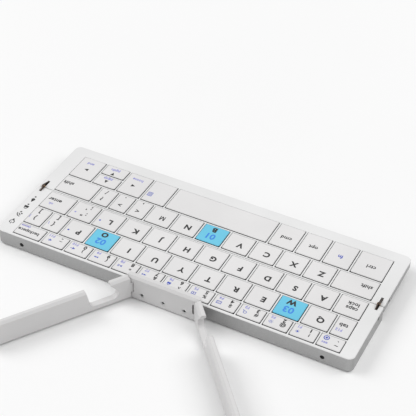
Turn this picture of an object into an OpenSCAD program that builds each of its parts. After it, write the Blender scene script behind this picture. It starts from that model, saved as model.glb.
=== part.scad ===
// Folding keyboard with two swing-out stand arms.
// The rear half carries three rows of keys, the front half two. The front half folds over onto
// the rear half about an axis level with the key tops. The stand arms swing out of the rear face.
// X runs along the keys, Y points away from the typist and Z points up. The part is drawn with
// the fold line at y = 0 and moved at the end, so that the origin is at the middle of the front
// foot strip's underside.

/* [Body] */
// Length of the keyboard, end to end
length = 237; // [230:1:250]
// Depth of the rear half, from the fold line to its rear face
rear_depth = 48; // [48:0.5:52]
// How much less deep the front half is, so that it clears the stand block when closed
front_setback = 0.3; // [0.2:0.1:1]
// Thickness of the rear half, from its underside to its bezel
rear_thick = 10.9; // [10.5:0.1:13]
// Thickness of the front half, from its underside to its bezel
front_thick = 5.9; // [5.9:0.1:7]
// Gap between the two halves at the fold line
fold_gap = 0.3; // [0.2:0.05:0.4]
// Radius of the outer corners, seen from above
corner_r = 4; // [2.5:0.5:6]
// Radius of the corners at the fold line, seen from above
fold_corner_r = 1.2; // [1:0.1:2]

/* [Shells] */
// Wall of the aluminium shells at the rear face and the ends
shell_wall = 1.3; // [1.1:0.1:1.5]
// Wall of the aluminium shells along the fold line
fold_wall = 0.75; // [0.6:0.05:0.8]
// Floor of the aluminium shells
shell_floor = 1.2; // [1:0.1:1.3]
// Bright chamfer round the back of each shell
shell_chamfer = 0.9; // [0.5:0.1:1]
// Width of the ledge that carries the rear key plate
ledge_w = 2; // [1.5:0.1:2.5]

/* [Bezel frames] */
// Thickness of the rim that lies on top of the shell's walls
rim_t = 0.5; // [0.4:0.1:0.8]
// Thickness of the frame round the keys
frame_t = 2.5; // [2:0.1:3]
// Chamfer round the top of the rim
rim_chamfer = 0.3; // [0.2:0.05:0.4]
// Side clearance between a frame and what it fits into
fit_clear = 0.15; // [0.1:0.05:0.2]

/* [Keys] */
// Width of a letter key; the widths in a row are shares, and each row is fitted to its bezel
letter_w = 16.2; // [16:0.1:16.4]
// Depth of a letter key; the depths of the rows are shares, and are fitted to each half
letter_d = 15.4; // [15:0.1:15.5]
// Depth of a number key
number_d = 9.7; // [9:0.1:10]
// Depth of a key in the bottom row
bottom_d = 20.4; // [18:0.1:21]
// Gap between two neighbouring keys
key_gap = 1.8; // [1.6:0.1:2]
// Clearance between a key and the edge of its window
key_clear = 0.45; // [0.3:0.05:0.5]
// Height of a keycap
cap_h = 3.2; // [3:0.1:3.4]
// Height of the key tops above the bezel
key_proud = 0.6; // [0.4:0.1:0.8]
// How far a key travels when it is pressed
key_travel = 1.2; // [0.8:0.1:1.2]
// Bevel round the top of a keycap
cap_bevel = 0.35; // [0.2:0.05:0.5]
// Corner radius of a keycap, seen from above
cap_r = 0.9; // [0.6:0.1:1.5]
// Top wall of a keycap
cap_top = 1.1; // [0.9:0.1:1.2]
// Side wall of a keycap
cap_wall = 1; // [0.8:0.1:1.2]
// Left bezel, from the end of the keyboard to the first key
bezel_left = 9; // [8.4:0.1:9.4]
// Right bezel, from the last key to the end of the keyboard
bezel_right = 11.1; // [10.8:0.1:12]
// Rear bezel, from the number keys to the rear face
bezel_rear = 2.1; // [1.9:0.05:2.4]
// Front bezel, from the bottom row to the front half's edge
bezel_front = 8.75; // [8.5:0.05:9.5]
// Distance from the fold line to the nearest key of the rear half
rear_margin = 1.8; // [1.6:0.1:2]
// Distance from the fold line to the nearest key of the front half
front_margin = 1.35; // [1.35:0.05:1.6]

/* [Key widths] */
// Width of the key left of the 1
grave_w = 14.2; // [14:0.1:15]
// Width of a number key
number_w = 14.8; // [14.6:0.1:15]
// Width of a bracket key
bracket_w = 11.3; // [11:0.1:11.6]
// Width of a punctuation key
punctuation_w = 11; // [10.6:0.1:11.2]
// Width of the control key
control_w = 20; // [18:0.1:21]
// Width of an arrow key
arrow_w = 16; // [15.8:0.1:16.2]
// Width of the backspace key
backspace_w = 18.3; // [17:0.1:19]
// Width of the tab key
tab_w = 10.7; // [10:0.1:12]
// Width of the enter key
enter_w = 18.9; // [18:0.1:20]
// Width of each shift key
shift_w = 25.35; // [24:0.05:27]
// Width of the space bar
space_w = 69.9; // [66:0.1:72]

/* [Key switches] */
// Thickness of the steel plate under the switch sheet
plate_t = 0.3; // [0.2:0.05:0.3]
// Thickness of the switch sheet
sheet_t = 0.4; // [0.3:0.05:0.4]
// Radius of a rubber dome at its foot
dome_r = 2.6; // [2:0.1:3]
// Height of a dome when its key is pressed
dome_h = 1.8; // [1.4:0.1:1.8]

/* [Hinge] */
// Gap between the key tops of the two halves when the keyboard is closed
closing_gap = 0.4; // [0.3:0.05:0.8]
// Distance of the hinges from the ends of the keyboard
hinge_inset = 3.45; // [3.3:0.05:3.6]
// Thickness of a hinge leaf
leaf_t = 0.6; // [0.6:0.05:0.9]
// Gap between the two leaves of a hinge
leaf_gap = 0.1; // [0.1:0.05:0.25]
// Outer radius of a leaf's eye
eye_r = 1.1; // [1:0.05:1.3]
// Radius of the hinge pin
hinge_pin_r = 0.6; // [0.5:0.05:0.65]
// Radius of a leaf at its screw
boss_r = 1.6; // [1.4:0.05:1.7]
// Distance from the fold line to a leaf's screw
boss_y = 8.35; // [7:0.05:9]
// Depth of a leaf's screw below the fold axis
boss_drop = 3.2; // [3:0.05:3.4]
// Length of the hinge slot in the rear bezel
rear_slot = 4.6; // [4.4:0.1:6]
// Length of the hinge slot in the front bezel
front_slot = 6.8; // [5.4:0.1:7]
// Radius of a hinge screw's shank
hinge_screw_r = 0.8; // [0.6:0.05:0.9]
// Radius of a hinge screw's head
hinge_head_r = 1.3; // [1.2:0.05:1.4]
// Radial clearance of pins and screws in their holes
pin_clear = 0.05; // [0.03:0.01:0.08]

/* [Stand] */
// Height of the stand block and the arms
stand_h = 17.2; // [16:0.1:17.6]
// Height of the stand above the table
stand_lift = 0.4; // [0.3:0.1:1]
// Distance between the pivots of the two arms
pivot_span = 42.9; // [38:0.5:60]
// Thickness of an arm
arm_t = 3.8; // [3.4:0.1:4.2]
// Clearance between a folded arm and the rear face
arm_clear = 0.4; // [0.2:0.05:0.4]
// Distance from a folded arm's tip to the end of the keyboard, with the stand in the middle
arm_tip_inset = 3.1; // [2:0.1:18]
// Distance of the stand from the middle of the keyboard, to the right
stand_x = -0.95; // [-1.5:0.05:1.5]
// Slant of an arm's tip across its thickness
tip_slant = 2.4; // [0:0.1:4]
// Gap round an arm's knuckle, which lets the arm swing square to the keyboard
knuckle_gap = 0.85; // [0.8:0.05:0.9]
// Height of the block's lower knuckle
lower_knuckle_h = 5.3; // [4.5:0.1:6]
// Height of the arm's knuckle
arm_knuckle_h = 7; // [6:0.1:8]
// Gap between two knuckles, one above the other
knuckle_step = 0.2; // [0.15:0.05:0.3]
// Radius of an arm's pivot pin
arm_pin_r = 0.8; // [0.6:0.05:1]
// Radius of the block's round ends
post_r = 2.9; // [2.8:0.1:3.2]
// Chamfer along the inner edges of the arms and the block's other edges
arm_chamfer = 0.5; // [0.3:0.05:0.7]
// Chamfer along the outer edges of the arms and the upper edge of the block's face
face_chamfer = 1.4; // [1:0.1:1.6]
// Angle of the left arm as it stands
left_angle = 49; // [0:1:56]
// Angle of the right arm as it stands
right_angle = 56; // [0:1:56]
// Spacing of the block's screws
screw_spacing = 14.1; // [12:0.1:15]
// Height of the block's screws above the table
block_screw_z = 5.2; // [4:0.1:5.4]
// Radius of a block screw's shank
block_screw_r = 0.9; // [0.7:0.05:1]
// Radius of a block screw's head
block_head_r = 1.6; // [1.4:0.05:1.8]

/* [Device notch] */
// Height of the notch's floor above the table
notch_floor = 4.9; // [4:0.1:8]
// Distance from the pivot to the centre of the notch's inner corner
notch_near = 13.7; // [12:0.1:15]
// Radius of the notch's inner corner, under the lip
notch_near_r = 3.8; // [3:0.1:4]
// Angle of the lip's underside above level
lip_angle = 49; // [45:1:60]
// Distance from the pivot to the lip's tip
lip_tip = 14.7; // [14.5:0.1:15]
// Distance from the pivot to the centre of the notch's outer corner
notch_far = 25.2; // [22:0.1:28]
// Radius of the notch's outer corner
notch_far_r = 3.2; // [2:0.1:3.6]
// Lean of the notch's outer wall from upright
notch_lean = 11.3; // [5:0.1:20]
// Radius where the outer wall meets the top of the arm
notch_shoulder_r = 1.2; // [1:0.1:3]

/* [Feet and small parts] */
// Distance from a foot strip's ends to the ends of the keyboard
foot_inset = 28.5; // [20:0.5:50]
// Width of a foot strip
foot_w = 5; // [4:0.1:6]
// How far the foot strips stand below the rear half
foot_proud = 0.3; // [0.2:0.05:0.5]
// Depth of the grooves that hold the foot strips
foot_seat = 0.5; // [0.4:0.05:0.6]
// Distance from the fold line to the front foot strip's middle
front_foot_y = 5.5; // [5:0.1:7]
// Distance from the rear face to the rear foot strip's middle
rear_foot_inset = 5.5; // [5:0.1:7]
// Radius of a closing magnet
magnet_r = 2; // [1.5:0.1:2.2]
// Thickness of a closing magnet
magnet_t = 1.5; // [1:0.1:1.6]
// Distance from the front half's edge to the closing magnets
magnet_inset = 4.7; // [4.2:0.1:5.7]
// Distance of the arm magnets from the ends of the keyboard
arm_magnet_inset = 18; // [15:0.5:28]
// Radius of an arm magnet
arm_magnet_r = 1.35; // [1:0.05:1.5]
// Length of an arm magnet
arm_magnet_l = 1.3; // [1:0.1:1.5]
// Distance from the rear face to the last of the four status lights
last_light_inset = 12.4; // [12:0.1:13]
// Distance from the fold line to the first status light
first_light_y = 11; // [11:0.1:12]
// Distance of the status lights from the end of the keyboard
light_inset = 4.5; // [4.3:0.1:6]
// Radius of a status light
light_r = 0.6; // [0.4:0.05:0.8]

/* [Battery and board] */
// Length of the battery
battery_l = 62; // [40:1:70]
// Depth of the battery
battery_d = 30; // [20:1:34]
// Thickness of the battery
battery_t = 3.8; // [2.5:0.1:3.9]
// Length of the circuit board
board_l = 90; // [60:1:95]
// Depth of the circuit board
board_d = 26; // [16:1:30]
// Thickness of the circuit board
board_t = 0.8; // [0.6:0.1:1]
// Width of the charging inlet
port_w = 7.6; // [7:0.1:8]
// Height of the charging inlet
port_h = 2.8; // [2.4:0.1:3]
// Length of the charging inlet
port_l = 5.6; // [5:0.1:6]
// Wall of the charging inlet
port_wall = 0.3; // [0.25:0.05:0.4]
// Width of the flat cable that joins the halves
flex_w = 10; // [6:1:12]
// Thickness of the flat cable
flex_t = 0.15; // [0.1:0.01:0.18]
// Gap between the end of each cable tail and the rubber dome nearest to it
flex_gap = 0.45; // [0.3:0.05:0.6]

/* [Hidden] */
$fn = 48;
tiny = 0.01;

// Heights above the table
bezel_z = foot_proud + rear_thick;
key_top_z = bezel_z + key_proud;
axis_z = key_top_z + closing_gap / 2;
cap_z = key_top_z - cap_h;
front_under_z = bezel_z - front_thick;
sheet_top_z = cap_z - key_travel - closing_gap / 2;
plate_top_z = sheet_top_z - sheet_t;
plate_z = plate_top_z - plate_t;
shell_top_z = bezel_z - rim_t;
frame_z = bezel_z - frame_t;
rear_floor_z = foot_proud + shell_floor;
front_floor_z = plate_z;

// Plan positions
front_depth = rear_depth - front_setback;
rear_fit = (rear_depth - bezel_rear - rear_margin - 2 * key_gap) / (2 * letter_d + number_d);
front_fit = (front_depth - bezel_front - front_margin - key_gap) / (letter_d + bottom_d);
rear_key_d = letter_d * rear_fit;
number_key_d = number_d * rear_fit;
front_key_d = letter_d * front_fit;
bottom_key_d = bottom_d * front_fit;
magnet_y = front_depth - magnet_inset;
flex_l = front_margin + front_key_d / 2 - dome_r - flex_gap;
light_count = 4;
light_pitch = (rear_depth - last_light_inset - first_light_y) / (light_count - 1);
keys_left = -length / 2 + bezel_left;
home_row_y = rear_margin;
upper_row_y = home_row_y + rear_key_d + key_gap;
number_row_y = upper_row_y + rear_key_d + key_gap;
lower_row_y = -front_margin - front_key_d;
bottom_row_y = lower_row_y - key_gap - bottom_key_d;

// Widths of the keys in each row, from left to right
keys_w = length - bezel_left - bezel_right;
NUMBER_ROW = fitted([grave_w, for (i = [1:11]) number_w, backspace_w]);
UPPER_ROW = fitted([tab_w, for (i = [1:10]) letter_w, bracket_w, bracket_w]);
HOME_ROW = fitted([for (i = [1:11]) letter_w, enter_w]);
LOWER_ROW = fitted([shift_w, for (i = [1:7]) letter_w, for (i = [1:3]) punctuation_w,
    shift_w]);
BOTTOM_ROW = fitted([control_w, for (i = [1:3]) letter_w, space_w, for (i = [1:4]) arrow_w]);
SPLIT_KEY = 7;
split_d = (bottom_key_d - key_gap) / 2;

// Rows as [widths, y of the front edge, depth]
NUMBER = [NUMBER_ROW, number_row_y, number_key_d];
UPPER = [UPPER_ROW, upper_row_y, rear_key_d];
HOME = [HOME_ROW, home_row_y, rear_key_d];
LOWER = [LOWER_ROW, lower_row_y, front_key_d];
BOTTOM = [BOTTOM_ROW, bottom_row_y, bottom_key_d];

// The shares stretched or shrunk together, so that the keys and their gaps fill the row
function fitted(shares) =
    let (free = keys_w - key_gap * (len(shares) - 1), total = sum_to(shares, len(shares)))
    [for (share = shares) free * share / total];
function sum_to(list, n) = n <= 0 ? 0 : list[n - 1] + sum_to(list, n - 1);
function key_x(row, i) = keys_left + sum_to(row[0], i) + i * key_gap;
keys_right = keys_left + keys_w;
light_x = length / 2 - light_inset;

// Hinge
hinge_x = length / 2 - hinge_inset;
leaf_out = leaf_t + leaf_gap / 2;
slot_w = 2 * leaf_out + 2 * fit_clear;
boss_z = axis_z - boss_drop;
pocket_z = boss_z - boss_r - fit_clear;
pocket_top_z = boss_z + boss_r + fit_clear;
hinge_head_l = 0.8;
rivet_head_r = hinge_pin_r + 0.1;
rivet_head_l = 0.3;

// Stand
knuckle_r = arm_t / 2;
stand_z = stand_lift;
stand_top_z = stand_lift + stand_h;
pivot_x = pivot_span / 2;
stand_face_y = rear_depth + arm_clear + arm_t;
pivot_y = stand_face_y - knuckle_r;
arm_knuckle_z = stand_z + lower_knuckle_h + knuckle_step;
upper_knuckle_z = arm_knuckle_z + arm_knuckle_h + knuckle_step;
block_head_l = 1;
block_screw_l = 6.8;
arm_l = length / 2 - pivot_x - arm_tip_inset;
arm_free_r = knuckle_r + knuckle_gap;
arm_pin_end = 0.6;
arm_pin_cover = 1.8;

// Small parts
rear_foot_y = rear_depth - rear_foot_inset;
magnet_x = (keys_right + key_clear + length / 2) / 2;
arm_magnet_x = length / 2 - arm_magnet_inset;
foot_l = length - 2 * foot_inset;
board_x1 = length / 2 - shell_wall - ledge_w - 2 * fit_clear;
battery_x = -length / 4;
inner_y = rear_depth / 2;
port_z = rear_floor_z + board_t;
flex_window_h = 0.9;

// ---- shapes ----

// The two ends: children are drawn at the right end and mirrored to the left
module both_ends() {
    children();
    mirror([1, 0, 0]) children();
}

// Corner cutter for a rectangle: the square corner outside a quarter circle of radius r
module corner_cut(r) {
    difference() {
        translate([0, 0]) square(r + 1);
        circle(r);
        translate([r, -1]) square([2, 1]);
        translate([-1, r]) square([1, 2]);
    }
}

// Rectangle of width w about x = 0, from y0 to y1, with corner radii r0 at y0 and r1 at y1
module rounded_rect(w, y0, y1, r0, r1) {
    difference() {
        translate([-w / 2, y0]) square([w, y1 - y0]);
        both_ends() translate([w / 2 - r1, y1 - r1]) corner_cut(r1);
        both_ends() translate([w / 2 - r0, y0 + r0]) mirror([0, 1]) corner_cut(r0);
    }
}

// Prism along X that cuts a 45 degree chamfer of size c on the lower edge at y = 0
module chamfer_bar(x0, x1, c) {
    translate([x0, 0, 0]) rotate([90, 0, 90]) linear_extrude(x1 - x0)
        polygon([[-c - tiny, -tiny], [tiny, -tiny], [tiny, c + tiny]]);
}

// Cutter for the chamfered lower corner of radius r whose centre is at the origin
module chamfer_corner(r, c) {
    difference() {
        translate([0, 0, -tiny]) cube([r + 1, r + 1, c + tiny]);
        translate([0, 0, -tiny]) cylinder(h = c + 3 * tiny, r1 = r - c - tiny, r2 = r + 2 * tiny);
    }
}

// Everything that a chamfer c takes from the lower edge of a rounded_rect slab
module chamfer_ring(w, y0, y1, r0, r1, c) {
    translate([0, y1, 0]) chamfer_bar(-w / 2 + r1, w / 2 - r1, c);
    translate([0, y0, 0]) mirror([0, 1, 0]) chamfer_bar(-w / 2 + r0, w / 2 - r0, c);
    both_ends() {
        translate([w / 2, 0, 0]) rotate([0, 0, -90]) chamfer_bar(-y1 + r1, -y0 - r0, c);
        translate([w / 2 - r1, y1 - r1, 0]) chamfer_corner(r1, c);
        translate([w / 2 - r0, y0 + r0, 0]) mirror([0, 1, 0]) chamfer_corner(r0, c);
    }
}

// Flat bar with round ends, of length l and width w, about the origin
module bar_2d(l, w) {
    square([l - w, w], center = true);
    both_ends() translate([(l - w) / 2, 0]) circle(w / 2);
}

// Flat link round two points: radius ra at a, radius rb at b, joined by their outer tangents
module link_2d(a, ra, b, rb) {
    run = b - a;
    heading = atan2(run[1], run[0]);
    spread = acos((ra - rb) / norm(run));
    function on(p, r, turn) = p + r * [cos(heading + turn), sin(heading + turn)];
    translate(a) circle(ra);
    translate(b) circle(rb);
    polygon([on(a, ra, spread), on(b, rb, spread), on(b, rb, -spread), on(a, ra, -spread)]);
}

// A profile drawn in the Y-Z plane, t thick along +X from x
module across_x(x, t) {
    translate([x, 0, 0]) rotate([90, 0, 90]) linear_extrude(t) children();
}

// ---- shells and frames ----

// Outline of one half, inset by wall at the outer edges and by fold at the fold line
module half_outline(depth, wall, fold) {
    rounded_rect(length - 2 * wall, fold_gap / 2 + fold, depth - wall,
        max(fold_corner_r - fold, 0.3), max(corner_r - wall, 0.3));
}

// Solid half with its chamfered back at z = under
module half_block(depth, under, top) {
    difference() {
        translate([0, 0, under]) linear_extrude(top - under) half_outline(depth, 0, 0);
        translate([0, 0, under])
            chamfer_ring(length, fold_gap / 2, depth, fold_corner_r, corner_r, shell_chamfer);
    }
}

// What the hinge leaves need cut out of a shell or frame, drawn for the half at y > 0. The
// slot in its top reaches as far as slot.
module hinge_room(slot) {
    both_ends() {
        translate([hinge_x - slot_w / 2, -1, pocket_z])
            cube([slot_w, slot + 1, axis_z - pocket_z]);
        translate([hinge_x - slot_w / 2, 0, pocket_z])
            cube([slot_w, boss_y + boss_r + fit_clear, pocket_top_z - pocket_z]);
        hinge_screw_bore();
    }
}

// Bore and counterbore of one hinge screw, from the right end of the keyboard
module hinge_screw_bore() {
    translate([hinge_x, boss_y, boss_z]) rotate([0, 90, 0])
        cylinder(h = length, r = hinge_screw_r + pin_clear);
    translate([length / 2 - hinge_head_l - pin_clear, boss_y, boss_z]) rotate([0, 90, 0])
        cylinder(h = length, r = hinge_head_r + pin_clear);
}

// Shell of one half at y > 0: a tray with a floor, and a ledge where the floor lies low
module tray(depth, under, floor_z) {
    difference() {
        half_block(depth, under, shell_top_z);
        translate([0, 0, plate_z]) linear_extrude(rear_thick)
            half_outline(depth, shell_wall, fold_wall);
        if (floor_z < plate_z)
            translate([0, 0, floor_z]) linear_extrude(rear_thick)
                half_outline(depth, shell_wall + ledge_w, fold_wall + ledge_w);
        hinge_room(rear_slot);
        translate([0, 0, sheet_top_z + flex_window_h / 2])
            cube([flex_w + 2, 2 * (fold_gap + fold_wall + tiny), flex_window_h], center = true);
    }
}

module rear_shell() {
    color("silver") difference() {
        tray(rear_depth, foot_proud, rear_floor_z);
        foot_shapes(foot_proud - 1, foot_seat + 1);
        both_ends() translate([arm_magnet_x, rear_depth, block_screw_z]) rotate([90, 0, 0])
            translate([0, 0, -1]) cylinder(h = arm_magnet_l + 1, r = arm_magnet_r + pin_clear);
        for (i = [-1:1])
            translate([stand_x + i * screw_spacing, rear_depth + 1, block_screw_z])
                rotate([90, 0, 0])
                cylinder(h = shell_wall + ledge_w + 2, r = block_screw_r + pin_clear);
        port_opening();
    }
}

module front_shell() {
    color("silver") mirror([0, 1, 0]) tray(front_depth, front_under_z, front_floor_z);
}

// Bezel frame of one half, solid but for the hinge room; children are the key windows
module frame_block(depth, slot) {
    inset = shell_wall + fit_clear;
    fold_inset = fold_wall + fit_clear;
    difference() {
        union() {
            translate([0, 0, shell_top_z]) linear_extrude(rim_t) half_outline(depth, 0, 0);
            translate([0, 0, frame_z]) linear_extrude(shell_top_z - frame_z)
                half_outline(depth, inset, fold_inset);
            translate([0, 0, sheet_top_z]) linear_extrude(frame_z - sheet_top_z)
                half_outline(depth, inset, fold_inset);
        }
        translate([0, 0, bezel_z]) mirror([0, 0, 1])
            chamfer_ring(length, fold_gap / 2, depth, fold_corner_r, corner_r, rim_chamfer);
        hinge_room(slot);
        children();
    }
}

// Window of one key, and the well under a whole row, which leaves only the webs above it
module window(x, y, w, d) {
    translate([x - key_clear, y - key_clear, sheet_top_z - 1])
        cube([w + 2 * key_clear, d + 2 * key_clear, rear_thick]);
}

module windows(row) {
    for (i = [0:len(row[0]) - 1]) window(key_x(row, i), row[1], row[0][i], row[2]);
}

// Open space below the webs, from the first to the last key of the rows between y0 and y1
module well(y0, y1) {
    translate([keys_left - key_clear, y0, sheet_top_z - 1])
        cube([keys_right - keys_left + 2 * key_clear, y1 - y0, frame_z - sheet_top_z + 1]);
}

// Blind pocket from below for a closing magnet at y, and its magnet
module magnet_pocket() {
    both_ends() translate([magnet_x, magnet_y, 0])
        cylinder(h = pocket_top_z, r = magnet_r + pin_clear);
}

module magnets() {
    both_ends() translate([magnet_x, magnet_y, pocket_top_z - magnet_t])
        cylinder(h = magnet_t, r = magnet_r);
}

module rear_frame() {
    color("whitesmoke") frame_block(rear_depth, rear_slot) {
        windows(NUMBER);
        windows(UPPER);
        windows(HOME);
        well(0, number_row_y + number_key_d + key_clear);
        magnet_pocket();
        for (y = light_ys()) translate([light_x, y, 0])
            cylinder(h = 2 * bezel_z, r = light_r + pin_clear);
    }
}

module front_frame() {
    color("whitesmoke") {
        difference() {
            mirror([0, 1, 0]) frame_block(front_depth, front_slot) magnet_pocket();
            windows(LOWER);
            windows(BOTTOM);
            well(bottom_row_y - key_clear, 0);
        }
        translate([key_x(BOTTOM, SPLIT_KEY) - key_clear,
            bottom_row_y + split_d + key_clear, frame_z])
            cube([BOTTOM_ROW[SPLIT_KEY] + 2 * key_clear, key_gap - 2 * key_clear, frame_t]);
    }
}

// ---- under the keys ----

module layer(depth, z, t) {
    translate([0, 0, z]) linear_extrude(t)
        half_outline(depth, shell_wall + fit_clear, fold_wall + fit_clear);
}

module hinge_notches() {
    both_ends() translate([hinge_x - slot_w / 2, -1, 0])
        cube([length, boss_y + boss_r + fit_clear + 1, axis_z]);
}

module key_plate(depth) {
    color("gainsboro") difference() {
        layer(depth, plate_z, plate_t);
        hinge_notches();
    }
}

module rear_key_plate() {
    key_plate(rear_depth);
}

module front_key_plate() {
    mirror([0, 1, 0]) key_plate(front_depth);
}

// Rubber domes, one under each key of a row
module domes(row) {
    for (i = [0:len(row[0]) - 1])
        translate([key_x(row, i) + row[0][i] / 2, row[1] + row[2] / 2, sheet_top_z - tiny])
            cylinder(h = dome_h, r1 = dome_r, r2 = dome_r * 0.6);
}

module rear_switch_sheet() {
    color("dimgray") {
        difference() {
            layer(rear_depth, plate_top_z, sheet_t);
            hinge_notches();
        }
        domes(NUMBER);
        domes(UPPER);
        domes(HOME);
    }
}

module front_switch_sheet() {
    color("dimgray") {
        mirror([0, 1, 0]) difference() {
            layer(front_depth, plate_top_z, sheet_t);
            hinge_notches();
        }
        domes(LOWER);
        for (i = [0:len(BOTTOM_ROW) - 1])
            if (i != SPLIT_KEY)
                translate([key_x(BOTTOM, i) + BOTTOM_ROW[i] / 2, bottom_row_y + bottom_key_d / 2,
                    sheet_top_z - tiny]) cylinder(h = dome_h, r1 = dome_r, r2 = dome_r * 0.6);
        for (i = [0:1])
            translate([key_x(BOTTOM, SPLIT_KEY) + BOTTOM_ROW[SPLIT_KEY] / 2,
                bottom_row_y + split_d / 2 + i * (split_d + key_gap), sheet_top_z - tiny])
                cylinder(h = dome_h, r1 = dome_r, r2 = dome_r * 0.6);
    }
}

module circuit_board() {
    color("seagreen")
        translate([board_x1 - board_l, inner_y - board_d / 2, rear_floor_z])
            cube([board_l, board_d, board_t]);
}

module battery() {
    color("lightgray") translate([battery_x, inner_y, rear_floor_z])
        linear_extrude(battery_t) translate([0, -battery_d / 2])
            rounded_rect(battery_l, 0, battery_d, 1.5, 1.5);
}

// Opening for the charging inlet through the right end wall
module port_opening() {
    translate([board_x1 - port_l, inner_y - port_w / 2 - fit_clear, port_z])
        cube([length, port_w + 2 * fit_clear, port_h + fit_clear]);
}

module charge_port() {
    port_x = length / 2 - port_l;
    color("lightsteelblue") difference() {
        translate([port_x, inner_y - port_w / 2, port_z]) cube([port_l, port_w, port_h]);
        translate([port_x + 1, inner_y - port_w / 2 + port_wall, port_z + port_wall])
            cube([port_l, port_w - 2 * port_wall, port_h - 2 * port_wall]);
    }
}

module flex() {
    color("peru") translate([-flex_w / 2, fold_gap / 2, sheet_top_z])
        cube([flex_w, flex_l, flex_t]);
}

module rear_flex() {
    flex();
}

module front_flex() {
    mirror([0, 1, 0]) flex();
}

module rear_magnets() {
    color("darkgray") magnets();
}

module front_magnets() {
    color("darkgray") mirror([0, 1, 0]) magnets();
}

module arm_magnets() {
    color("dimgray") both_ends()
        translate([arm_magnet_x, rear_depth, block_screw_z]) rotate([90, 0, 0])
            cylinder(h = arm_magnet_l, r = arm_magnet_r);
}

function light_ys() = [for (i = [0 : light_count - 1]) first_light_y + i * light_pitch];

module status_lights() {
    color("white") for (y = light_ys()) translate([light_x, y, sheet_top_z])
        cylinder(h = bezel_z - sheet_top_z, r = light_r);
}

module foot_shapes(z, h) {
    for (y = [front_foot_y, rear_foot_y])
        translate([0, y, z]) linear_extrude(h) bar_2d(foot_l, foot_w);
}

module foot_strips() {
    color("darkslategray") foot_shapes(0, foot_proud + foot_seat);
}

// ---- fold hinges ----

// One leaf for the half at y > 0, from its screw to its eye on the fold axis. Past the end of
// the slot it is stepped down, to pass under the bezel.
module leaf(x, slot) {
    across_x(x, leaf_t) difference() {
        link_2d([boss_y, boss_z], boss_r, [0, axis_z], eye_r);
        translate([slot - fit_clear, boss_z + boss_r - fit_clear]) square(boss_y);
        translate([boss_y, boss_z]) circle(hinge_screw_r + pin_clear);
        translate([0, axis_z]) circle(hinge_pin_r + pin_clear);
    }
}

module rear_hinge_leaves() {
    color("slategray") both_ends() leaf(hinge_x - leaf_out, rear_slot);
}

module front_hinge_leaves() {
    color("slategray") mirror([0, 1, 0]) both_ends()
        leaf(hinge_x + leaf_gap / 2, front_slot);
}

module hinge_pins() {
    head_x = hinge_x - leaf_out - pin_clear;
    color("goldenrod") both_ends() translate([0, 0, axis_z]) rotate([0, 90, 0]) {
        translate([0, 0, head_x - rivet_head_l]) cylinder(h = rivet_head_l, r = rivet_head_r);
        translate([0, 0, head_x - tiny])
            cylinder(h = 2 * (leaf_out + pin_clear + tiny), r = hinge_pin_r);
        translate([0, 0, head_x + 2 * (leaf_out + pin_clear)])
            cylinder(h = rivet_head_l, r = rivet_head_r);
    }
}

// Screw through the end wall into the leaf whose inner face is at x
module hinge_screw(x) {
    translate([0, boss_y, boss_z]) rotate([0, 90, 0]) {
        translate([0, 0, x]) cylinder(h = length / 2 - hinge_head_l / 2 - x, r = hinge_screw_r);
        translate([0, 0, length / 2 - hinge_head_l]) cylinder(h = hinge_head_l, r = hinge_head_r);
    }
}

module rear_hinge_screws() {
    color("gray") both_ends() hinge_screw(hinge_x - leaf_out);
}

module front_hinge_screws() {
    color("gray") mirror([0, 1, 0]) both_ends() hinge_screw(hinge_x + leaf_gap / 2);
}

// ---- stand ----

// Chamfers along X on the edges of a bar from y0 to y1; the lower edge at y1 has its own size
module long_chamfers(x0, x1, y0, y1, lower) {
    for (top = [0, 1])
        translate([0, 0, top ? stand_top_z : stand_z]) mirror([0, 0, top]) {
            translate([0, y1, 0]) chamfer_bar(x0, x1, top ? face_chamfer : lower);
            translate([0, y0, 0]) mirror([0, 1, 0]) chamfer_bar(x0, x1, arm_chamfer);
        }
}

module pivot_post(z, h, r) {
    translate([0, 0, z]) cylinder(h = h, r = r);
}

// Plan of the block's end about a pivot: a round that is tangent to the block's face, kept
// within the room that the swinging arm leaves
module block_end_2d() {
    intersection() {
        translate([0, knuckle_r - post_r]) circle(post_r);
        circle(arm_free_r - arm_clear / 2);
        translate([-post_r, -knuckle_r]) square([2 * post_r, arm_t]);
    }
}

// Block between the arms, with an upper and a lower knuckle at each end
module stand_block() {
    web_y = stand_face_y - arm_t;
    color("whitesmoke") difference() {
        union() {
            translate([-pivot_x, web_y, stand_z]) cube([pivot_span, arm_t, stand_h]);
            translate([-pivot_x + knuckle_r * 2, rear_depth, stand_z])
                cube([pivot_span - knuckle_r * 4, arm_t, stand_h]);
            both_ends() translate([pivot_x, pivot_y, stand_z])
                linear_extrude(stand_h) block_end_2d();
        }
        long_chamfers(-length, length, rear_depth, stand_face_y, arm_chamfer);
        both_ends() translate([pivot_x, pivot_y, 0]) {
            pivot_post(arm_knuckle_z - knuckle_step, arm_knuckle_h + 2 * knuckle_step,
                arm_free_r);
            pivot_post(0, stand_top_z - arm_pin_cover, arm_pin_r + pin_clear);
        }
        for (i = [-1:1])
            translate([i * screw_spacing, stand_face_y, block_screw_z]) rotate([90, 0, 0]) {
                translate([0, 0, -1])
                    cylinder(h = block_head_l + 1 + pin_clear, r = block_head_r + pin_clear);
                cylinder(h = 2 * arm_t, r = block_screw_r + pin_clear);
            }
    }
}

module block_screws() {
    color("dimgray") for (i = [-1:1])
        translate([i * screw_spacing, stand_face_y - pin_clear, block_screw_z])
            rotate([90, 0, 0]) {
                cylinder(h = block_head_l, r = block_head_r);
                cylinder(h = block_screw_l, r = block_screw_r);
            }
}

module arm_pins() {
    color("gray") both_ends() translate([pivot_x, pivot_y, 0])
        pivot_post(stand_z + arm_pin_end, stand_h - arm_pin_cover - 1.5 * arm_pin_end, arm_pin_r);
}

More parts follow.
